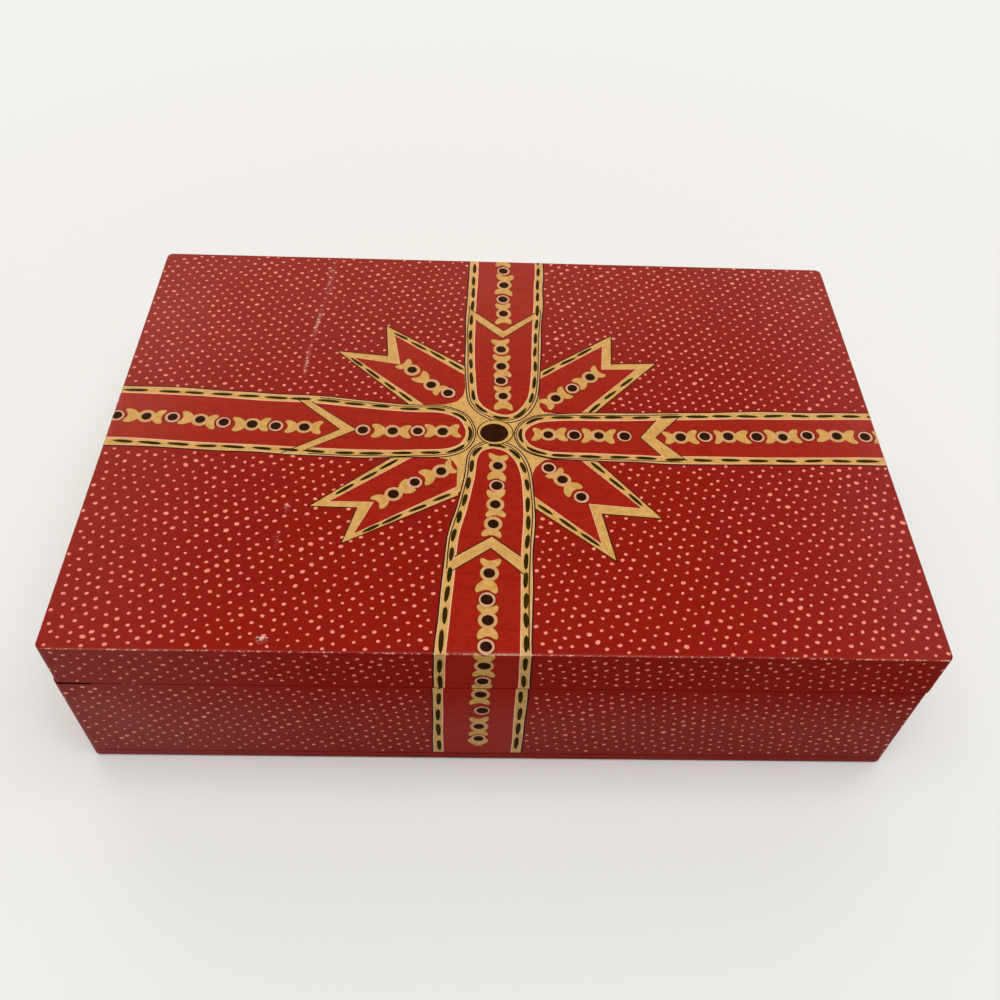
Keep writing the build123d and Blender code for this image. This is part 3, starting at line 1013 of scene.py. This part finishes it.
def straight_bands(bm, inner, outer, lift):
    """A straight band from each corner to the next, between two lines. Gives both sides of each band."""
    sides = []
    for n in range(len(inner) - 1):
        near = straight_line(inner[n], inner[n + 1])
        start, end = Vector(outer[n]), Vector(outer[n + 1])
        far = [start.lerp(end, m / (len(near) - 1)) for m in range(len(near))]
        band(bm, near, far, lift)
        sides.append((near, far))
    return sides


layer = new_layer()
for outer, inner in TAILS.values():
    straight_bands(layer, inner, outer, LIFT["tail border"])
put_on_box("tail_borders", layer, paints["gold_paint"])

# %% Paint the borders of the arms
layer = new_layer()
for seed, line in enumerate(arm_lines.values()):
    inner = beside(line, 0.0, INNER_WAVER, seed)
    outer = beside(line, BORDER_WIDTH, OUTER_WAVER, seed + OUTER_SEED)
    band(layer, inner, outer, LIFT["arm border"])
put_on_box("ribbon_borders", layer, paints["gold_paint"])

# %% Paint the chevrons
# the side near the middle of the box and the side away from it: one end, the point and the other end
CHEVRONS = {
    "left": ([(-64.0, 10.2), (-46.2, -3.8), (-64.3, -14.9)],
             [(-68.2, 10.8), (-51.8, -3.8), (-69.4, -14.9)]),
    "right": ([(54.6, 5.0), (47.2, -4.8), (54.4, -14.2)],
              [(61.4, 5.2), (52.4, -4.7), (61.6, -14.8)]),
    "back": ([(-9.2, 54.6), (2.1, 43.4), (14.8, 55.4)],
             [(-9.2, 58.9), (2.5, 47.6), (16.2, 59.7)]),
    "front": ([(-14.6, -56.5), (-1.9, -47.4), (8.3, -56.2)],
              [(-14.9, -61.5), (-2.2, -52.0), (8.3, -62.2)]),
}
layer = new_layer()
chevron_lines = []
for inner, outer in CHEVRONS.values():
    first, second = straight_bands(layer, inner, outer, LIFT["chevron"])
    # the lines along the inner side stop a little short of the borders
    chevron_lines += [first[0][1:], first[1], second[0][:-1], second[1]]
put_on_box("ribbon_chevrons", layer, paints["gold_paint"])

# %% [markdown]
# ## Thin dark lines
# A fine brush went round everything that is gold. Along the arms it drew two lines,
# one at the outer side of the border and one a little inside it where the ribbons cross.

# %% Draw the outlines
LINE_WIDTH = 0.44
THIN_LINE = 0.36
FIRST_LINE = BORDER_WIDTH - 0.1
SECOND_LINE = 2.4
SECOND_REACH = 62.0  # the second line is drawn this far from the middle, and farther on one side in front


def has_second_line(name, point):
    """True where an arm has its second line."""
    return point.length < SECOND_REACH or (name == "front" and point.x > 0 and point.y > lid_low.y)


def thin_line(bm, edge, lift):
    """A thin dark line along the middle of an edge."""
    band(bm, beside(edge, -THIN_LINE / 2), beside(edge, THIN_LINE / 2), lift, wide=False)


layer = new_layer()
for seed, (name, line) in enumerate(arm_lines.items()):
    crossed = [point for point in line if has_second_line(name, point)]
    drawn = [(line, FIRST_LINE, LINE_WIDTH), (crossed, SECOND_LINE, THIN_LINE)]
    for points, offset, width in drawn:
        edge = beside(points, offset, OUTER_WAVER, seed + OUTER_SEED)
        band(layer, edge, beside(edge, width), LIFT["arm outline"], wide=False)
for outer, _ in TAILS.values():
    for start, end in zip(outer, outer[1:]):
        thin_line(layer, straight_line(start, end), LIFT["tail outline"])
for edge in chevron_lines:
    thin_line(layer, edge, LIFT["chevron outline"])
put_on_box("thin_lines", layer, paints["line_paint"])

# %% [markdown]
# ## Dashes
# Down the middle of each border runs a row of olive black dashes, each one a single press
# of a pointed brush: it starts thin, swells and ends thin.
# A seeded random number makes them as uneven as a hand does.

# %% One dash
hand = random.Random(7)
DASH_STEPS = 8
DASH_TIP = 0.12  # share of its width that a dash has at its ends


def point_on(line, run):
    """The point of a line at a distance from its start, and the step to its left."""
    normals = side_normals(line)
    for n in range(1, len(line)):
        length = (line[n] - line[n - 1]).length
        if run <= length or n == len(line) - 1:
            return line[n - 1].lerp(line[n], min(1.0, run / length)), normals[n]
        run -= length


def dash(bm, line, start, size, width):
    """One stroke along a line, widest a little nearer to the middle of the box."""
    swell = hand.uniform(0.3, 0.5)
    tilt, aside = hand.uniform(-0.35, 0.35), hand.uniform(-0.15, 0.15)
    outwards = point_on(line, start + size)[0].length > point_on(line, start)[0].length
    near, far = [], []
    for n in range(DASH_STEPS + 1):
        share = n / DASH_STEPS
        bend = (share if outwards else 1 - share) ** (0.5 / (1 - swell))
        half = width / 2 * (DASH_TIP + (1 - DASH_TIP) * sin(pi * (1 - bend)) ** 0.45)
        point, normal = point_on(line, start + share * size)
        point = point + normal * (aside + tilt * (share - 0.5))
        near.append(point - normal * half)
        far.append(point + normal * half)
    band(bm, near, far, LIFT["dash"], wide=False)


print("a dash has", DASH_STEPS + 1, "points on each side")

# %% Rows of dashes
DASH_LINE = 1.5  # from the red field to the middle of a row
SIDE_STROKE = 1.3  # the strokes are this much longer down the sides
# where the first stroke starts, step from stroke to stroke, length and width
DASHES = {"left": (1.0, 9.1, 7.5, 1.25), "right": (1.0, 9.0, 7.3, 1.3), "back": (1.0, 7.8, 6.2, 1.3),
          "front": (1.0, 7.3, 5.8, 1.45)}
TAIL_DASHES = (2.6, 8.4, 6.8, 1.2)


def row_of_dashes(bm, line, first, pitch, length, width):
    """Dashes one behind the other along a line."""
    total = sum((b - a).length for a, b in zip(line, line[1:]))
    start = first
    while start + length < total:
        longer = SIDE_STROKE if past_edges(*point_on(line, start)[0])[0] > 0 else 1.0
        dash(bm, line, start, length * hand.uniform(0.85, 1.1) * longer, width)
        start += pitch * hand.uniform(0.94, 1.06) * longer


layer = new_layer()
for name, line in arm_lines.items():
    row_of_dashes(layer, beside(line, DASH_LINE), *DASHES[name])
for outer, inner in TAILS.values():
    middle = [Vector(a).lerp(Vector(b), 0.5) for a, b in zip(outer, inner)]
    for start, end in ((middle[0], middle[1]), (middle[4], middle[3])):
        row_of_dashes(layer, straight_line(start, end), *TAIL_DASHES)
put_on_box("dashes", layer, paints["dash_paint"])

# %% [markdown]
# ## Beads and bows
# A chain of dark beads in pale rings runs along each arm. Every second bead has a bow:
# a wing on each side with a hollow end, like the tail of a fish.
# The places are plan millimetres, B for a bead, W for a bead with two wings,
# O for a bead with only its outer wing and T for a wing alone. Where two more numbers follow,
# they are how far the outer and the inner wing reach.

# %% Set out the chains
CHAINS = {
    "left": ["B -125.1 0.4", "W -115.4 0.4 7.0 5.6", "B -106.9 0.1", "W -97.8 -0.8 6.5 5.5", "B -90 -1.8",
             "W -80.5 -2.4 6.2 5.5", "B -72.7 -2.9", "W -63.5 -3.1 6.0 5.7"],
    "left_middle": ["B -44.2 -3.9", "W -34.5 -4.2 6.6 5.9", "B -26.2 -3.8", "W -18 -3.8 5.8 5.6"],
    "right_middle": ["B 42 -4.3", "W 33.5 -4.4 5.3 5.5", "B 25.4 -4.3", "W 16.9 -4.3 6.0 5.3"],
    "right": ["B 123.2 -2.4", "W 113.5 -2.4 6.3 6.5", "B 103.7 -2.4", "W 95.2 -3.3 5.6 5.9",
              "B 86.5 -3.4", "W 76.9 -3.6 6.7 4.7", "B 69 -3.8", "W 60.7 -4.4 5.7 5.5"],
    "back": ["B 2.8 82.8", "W 3 74.2 6.2 5.8", "B 2.4 65.5", "W 2.6 57.2 5.9 5.7"],
    "back_middle": ["O 1.6 37.4 5.4", "W 1.6 28.5 5.8 5.5", "B 1.4 21.1", "W 2 13.5 4.8 6.7"],
    "front_middle": ["O -1.5 -42.6 5.0", "W -0.8 -34.9 4.9 5.9", "B -0.3 -27.2", "W 0 -18.7 6.1 5.0"],
    "front": ["T -4.2 -144.1", "B -4.2 -138", "W -4.1 -130.1", "B -3.5 -120.1", "W -4.1 -110.5",
              "B -4.1 -102.9", "W -4 -94.5", "B -3.6 -86.3", "W -3.1 -77.6 6.1 5.0", "B -3.3 -70.6",
              "W -2.6 -61.2 6.8 5.2"],
    "back_left_tail": ["O -29.5 25.5 5.2", "W -22.5 18.3 6.8 5.0", "B -16.7 14.5"],
    "back_right_tail": ["W 32.4 23.9 5.0 6.3", "B 26 18", "W 19.9 13 5.3 5.4"],
    "front_left_tail": ["W -32.5 -31.4 6.4 6.6", "B -26.2 -26.4", "W -18 -21.4 6.6 4.5"],
    "front_right_tail": ["B 26.2 -31.2", "W 20.5 -24.1 6.4 4.3", "B 16.4 -19.2"],
}
CHAIN_PITCH = 8.5
CARRIED_ON = {"left": (-CHAIN_PITCH, 0.0), "right": (CHAIN_PITCH, 0.0), "back": (0.05, CHAIN_PITCH)}
BEADS_PAST_EDGE = 6


def carried_on(chain, step):
    """A chain carried on past its outer end and down the side of the box."""
    x, y = (float(word) for word in chain[0].split()[1:3])
    added = []
    for n in range(BEADS_PAST_EDGE, 0, -1):
        kind = "W" if n % 2 else "B"
        added.append(f"{kind} {x + n * step[0]} {y + n * step[1]}")
    return added + chain


for name, step in CARRIED_ON.items():
    CHAINS[name] = carried_on(CHAINS[name], step)
print("beads:", sum(len(chain) for chain in CHAINS.values()))

# %% Shape one wing and one bead
# one wing, pointing along +X from the middle of its bead
WING_HALF = [(1.5, 1.0), (2.3, 1.55), (3.0, 2.35), (3.8, 2.95), (4.7, 3.25), (5.55, 3.2), (5.95, 2.7),
             (5.6, 1.7), (5.1, 0.75)]
WING = WING_HALF + [(x, -y) for x, y in reversed(WING_HALF)]
WING_MIDDLE = Vector((3.8, 0))
WING_REACH = 5.7
WING_RIM = 0.5
HALO_GROWTH = 1.05
BEAD_RADIUS = 1.68
RING_RADIUS = 2.42
BOW_RING_RADIUS = 2.8
HALO_WIDTH = 0.36
halos, wings, rings, lobes, beads = (new_layer() for _ in range(5))


def paint_wing(place, angle, reach):
    """A wing that points away from its bead, with a dark halo under it."""
    size = Matrix(((reach / WING_REACH, hand.uniform(-0.12, 0.12)), (0.0, 1.0)))
    heights = (hand.uniform(0.86, 1.06), hand.uniform(0.86, 1.06))
    turned = Matrix.Rotation(angle + hand.uniform(-0.05, 0.05), 2)
    outline = smooth_loop([(x, y * heights[y < 0]) for x, y in WING])
    grown = [WING_MIDDLE + (point - WING_MIDDLE) * HALO_GROWTH for point in outline]
    patch(halos, [place + turned @ (size @ point) for point in grown], LIFT["wing halo"])
    patch(wings, [place + turned @ (size @ point) for point in outline], LIFT["wing"], WING_RIM)


def paint_bead(place, turn, bowed):
    """A dark bead in its pale ring. One without a bow has a dark halo of its own."""
    ring = BOW_RING_RADIUS if bowed else RING_RADIUS
    stretch = hand.uniform(0.98, 1.06)
    if not bowed:
        drop(halos, *place, ring + HALO_WIDTH, LIFT["bead halo"], stretch, turn)
    drop(lobes if bowed else rings, *place, ring, LIFT["ring"], stretch, turn)
    x, y = (part + hand.uniform(-0.12, 0.12) for part in place)
    drop(beads, x, y, BEAD_RADIUS * hand.uniform(0.95, 1.1), LIFT["bead"], stretch, turn + 1.0)


print("a wing has", len(WING), "points before it is smoothed")

# %% Paint the beads and the bows
WAYS = {"W": (pi, 0), "O": (pi,), "T": (0,), "B": ()}  # which way the wings of each kind point
for chain in CHAINS.values():
    words = [entry.split() for entry in chain]
    numbers = [[float(number) for number in entry[1:]] for entry in words]
    places = [Vector(given[:2]) for given in numbers]
    for n, place in enumerate(places):
        kind = words[n][0]
        reaches = numbers[n][2:] or [WING_REACH, WING_REACH]
        along = places[min(n + 1, len(places) - 1)] - places[max(n - 1, 0)]
        turn = atan2(along.y, along.x)
        for way, reach in zip(WAYS[kind], reaches):
            paint_wing(place, turn + way, reach)
        if kind != "T":
            paint_bead(place, turn, bowed=kind != "B")
put_on_box("bead_halos", halos, paints["halo_paint"])
put_on_box("bow_wings", wings, paints["wing_paint"])
put_on_box("bead_rings", rings, paints["ring_paint"])
put_on_box("bow_lobes", lobes, paints["lobe_paint"])
put_on_box("beads", beads, paints["bead_paint"])

# %% Paint the big bead in the middle
MIDDLE = (-0.7, -3.7)
BIG_BEAD = (-1.06, -4.06)  # the bead sits a little to the front left in its ring
# for each paint its discs: middle, radius, lift and stretch
MIDDLE_DISCS = {
    "middle_line": ("line_paint", [(MIDDLE, 5.72, LIFT["middle outline"], 1.06),
                                   (BIG_BEAD, 4.25, LIFT["middle groove"], 1.1)]),
    "middle_ring": ("gold_paint", [(MIDDLE, 5.38, LIFT["middle ring"], 1.06)]),
    "middle_bead": ("bead_paint", [(BIG_BEAD, 4.0, LIFT["middle bead"], 1.1)]),
}
for name, (paint, discs) in MIDDLE_DISCS.items():
    layer = new_layer()
    for middle, radius, lift, stretch in discs:
        drop(layer, *middle, radius, lift, stretch, sides=40)
    put_on_box(name, layer, paints[paint])

# %% [markdown]
# ## Dots
# Thousands of small salmon dots fill the ground round the ribbon, on the lid and on all four sides.
# The painter set them in wavering rows that slant towards the bow, each about half a step along from
# the last. A freshly loaded brush leaves bigger dots, which shrink until it is loaded again.
# One dot is shaped once and doubled until there are enough, which is much quicker than making each,
# and then every copy is moved to its place.

# %% Find out where the ribbon lies


def encloses(outline, x, y):
    """True if a point lies inside a closed outline."""
    inside = False
    for a, b in zip(outline, outline[1:] + outline[:1]):
        if (a[1] > y) != (b[1] > y) and x < a[0] + (b[0] - a[0]) * (y - a[1]) / (b[1] - a[1]):
            inside = not inside
    return inside


def reach_of(outline):
    """The lowest and highest x and y of an outline."""
    xs, ys = [p[0] for p in outline], [p[1] for p in outline]
    return min(xs), max(xs), min(ys), max(ys)


DOT_MARGIN = 0.8
MIDDLE_REACH = 29.0
outlines = [WEB]
for line in arm_lines.values():
    outline = beside(line, BORDER_WIDTH + DOT_MARGIN)
    outlines.append([tuple(p) for p in [*outline[::3], outline[-1]]])
for name, (outer, _) in TAILS.items():
    middle = sum((Vector(p) for p in outer), Vector((0, 0))) / len(outer)
    grown = [tuple(Vector(p) + (Vector(p) - middle).normalized() * DOT_MARGIN) for p in outer]
    outlines.append([*grown, TAIL_ROOTS[name]])
kept_clear = [(outline, reach_of(outline)) for outline in outlines]


def on_ribbon(x, y):
    """True where the ribbon covers the ground, so that no dot belongs there."""
    if (Vector((x, y)) - Vector(MIDDLE)).length < MIDDLE_REACH:
        return True
    for outline, (x0, x1, y0, y1) in kept_clear:
        if x0 < x < x1 and y0 < y < y1 and encloses(outline, x, y):
            return True
    return False


print("outlines that the dots keep clear of:", len(kept_clear))

# %% Set out the rows
ROW_STEP = 3.27
DOT_STEP = 3.42
SLANT_UP = radians(38)
SLANT_DOWN = radians(-46)
# the two waves in a row: height, distance in which a wave turns by one radian, lag of each next row
WAVES = ((1.1, 21.0, 0.13), (0.25, 7.3, 0.9))


def dot_rows(x0, x1, y0, y1, slant):
    """Places inside a rectangle, in wavering rows that run at a slant."""
    middle = Vector((x0 + x1, y0 + y1)) / 2
    reach = Vector((x1 - x0, y1 - y0)).length / 2
    turn = Matrix.Rotation(slant, 2)
    rows, steps = int(reach / ROW_STEP), int(reach / DOT_STEP)
    for row in range(-rows, rows + 1):
        shift = DOT_STEP * (0.5 * (row % 2) + hand.uniform(-0.18, 0.18))
        for step in range(-steps, steps + 1):
            run = step * DOT_STEP + shift
            wave = sum(height * sin(run / radian + row * lag) for height, radian, lag in WAVES)
            x, y = middle + turn @ Vector((run, row * ROW_STEP + wave))
            if x0 < x < x1 and y0 < y < y1:
                yield x + hand.gauss(0, 0.25), y + hand.gauss(0, 0.25)


print("dots on a square centimetre of ground, about", round(100 / ROW_STEP / DOT_STEP, 1))

# %% Make dots and put them in their places
DOT_SIDES = 8
LEAST_DOT, LARGEST_DOT = 0.33, 0.76


def stock_of_dots(count):
    """A shape with as many dots as are needed. The points of each carry its number."""
    bm = bmesh.new()
    dot_number = bm.verts.layers.int.new("dot_number")
    bmesh.ops.create_cone(bm, cap_ends=True, segments=DOT_SIDES, radius1=1.0, radius2=0.6, depth=1.0)
    made = 1
    while made < count:
        geom = list(bm.verts) + list(bm.edges) + list(bm.faces)
        for copied in bmesh.ops.duplicate(bm, geom=geom)["geom"]:
            if isinstance(copied, bmesh.types.BMVert):
                copied[dot_number] += made
        made *= 2
    spare = [vert for vert in bm.verts if vert[dot_number] >= count]
    bmesh.ops.delete(bm, geom=spare, context="VERTS")
    return bm, dot_number


def dot_sizes(count, usual):
    """A radius for each dot. The brush is loaded again and again, and now and then it is very full."""
    left = full = fresh = 0
    for _ in range(count):
        if left == 0:
            left = full = hand.randint(9, 16)
            fresh = 0.26 if hand.random() < 0.15 else 0.1
        size = usual + fresh * (left / full) ** 2 + hand.gauss(0, 0.045)
        left -= 1
        yield min(LARGEST_DOT, max(LEAST_DOT, size))


def paint_dots(name, places, surface, body, usual):
    """One dot for each place, of about the usual radius. The surface function puts points on the box."""
    bm, dot_number = stock_of_dots(len(places))
    shapes = []
    for size in dot_sizes(len(places), usual):
        stretched = Matrix.Diagonal((size * hand.uniform(1.1, 1.42), size))
        shapes.append(Matrix.Rotation(hand.gauss(0.2, 0.4), 2) @ stretched)
    for vert in bm.verts:
        number = vert[dot_number]
        x, y = places[number]
        flat = shapes[number] @ vert.co.xy
        lift = LIFT["dot"] if vert.co.z > 0 else UNDERSIDE
        vert.co = surface((x + flat.x, y + flat.y, lift))
    finish_piece(name, bm, paints["dot_paint"], body)


print("dots have radii from", LEAST_DOT, "to", LARGEST_DOT, "mm")

# %% Scatter the dots on the lid


def on_top(x, y):
    """True on the level part of the lid, away from its corners."""
    margin = TOP_ROUND + 0.3
    dx = max(lid_low.x + margin - x, x - lid_high.x + margin)
    dy = max(lid_low.y + margin - y, y - lid_high.y + margin)
    return dx < 0 and dy < 0 and dx + dy < -CORNER_ROUND / 2


top_places = []
for x0, x1 in ((lid_low.x, 0.0), (0.0, lid_high.x)):
    for y0, y1 in ((lid_low.y, 0.0), (0.0, lid_high.y)):
        slant = SLANT_UP if (x0 < 0) == (y0 < 0) else SLANT_DOWN
        top_places += [(x, y) for x, y in dot_rows(x0, x1, y0, y1, slant)
                       if on_top(x, y) and not on_ribbon(x, y)]
paint_dots("lid_top_dots", top_places, lambda point: laid(point, 0.0), "lid", 0.46)

# %% Bend a strip round the sides


def round_side(low, high):
    """A function that bends a flat strip round the sides of the box, and the length of that strip."""
    length = high.x - low.x - 2 * CORNER_ROUND
    width = high.y - low.y - 2 * CORNER_ROUND
    arc = CORNER_ROUND * pi / 2
    runs = [(length, 0.0), (arc, 90.0), (width, 0.0), (arc, 90.0)] * 2

    def bend(point):
        """On the strip, a point is its distance from the front left corner, its height and its lift."""
        run, height, lift = point
        place = Vector((low.x + CORNER_ROUND, low.y, 0))
        heading = 0.0
        for size, turning in runs:
            share = min(run, size) / size
            if turning:
                centre = place + CORNER_ROUND * Vector((-sin(heading), cos(heading), 0))
                heading += radians(turning) * share
                place = centre + CORNER_ROUND * Vector((sin(heading), -cos(heading), 0))
            else:
                place = place + Vector((cos(heading), sin(heading), 0)) * min(run, size)
            run -= size
            if run <= 0:
                break
        out = Vector((sin(heading), -cos(heading), 0))
        return (place + out * lift + Vector((0, 0, height))) * MM

    return bend, 2 * (length + width + 2 * arc)


lid_bend, lid_round = round_side(lid_low, lid_high)
base_bend, base_round = round_side(base_low, base_high)
print("round the lid, mm:", round(lid_round, 1), "and round the base:", round(base_round, 1))

# %% Carry the dots round the sides
NEAR_FACE = 0.5  # a point this near to a face belongs to it
STRIP_GAP = 1.5  # left free where the rows meet again, at the front left corner


def side_places(bend, perimeter, heights, heights_behind, slide):
    """Places on the sides between two heights, clear of the ribbon and of the bevel at the back."""
    places = []
    for run, height in dot_rows(0.0, perimeter - STRIP_GAP, *heights, SLANT_UP):
        at = bend((run, height, 0.0)) / MM
        low, high = heights_behind if at.y > lid_high.y - NEAR_FACE else heights
        if not (0 < run < perimeter and low < height < high):
            continue
        step = plan_distance(height)
        x, y = at.x - slide, at.y
        if abs(at.y) > lid_high.y - NEAR_FACE:
            y = (EDGE_START["back"] + step) * (1 if at.y > 0 else -1)
        else:
            x = EDGE_START["right"] + step if at.x > 0 else -EDGE_START["left"] - step
        if not on_ribbon(x, y):
            places.append((run, height))
    return places


lid_bottom, lid_top = lid_low.z + 1.2, lid_high.z - 1.5
base_bottom, base_top = bottom_high.z + 1.4, base_high.z - 1.2
back_gap = BACK_BEVEL_RISE + 1.0
lid_places = side_places(lid_bend, lid_round, (lid_bottom, lid_top), (lid_low.z + back_gap, lid_top), 0.0)
base_places = side_places(base_bend, base_round, (base_bottom, base_top),
                          (base_bottom, base_high.z - back_gap), -side_set)
paint_dots("lid_side_dots", lid_places, lid_bend, "lid", 0.43)
paint_dots("base_side_dots", base_places, base_bend, "base", 0.42)
print("dots:", len(top_places), len(lid_places), len(base_places))
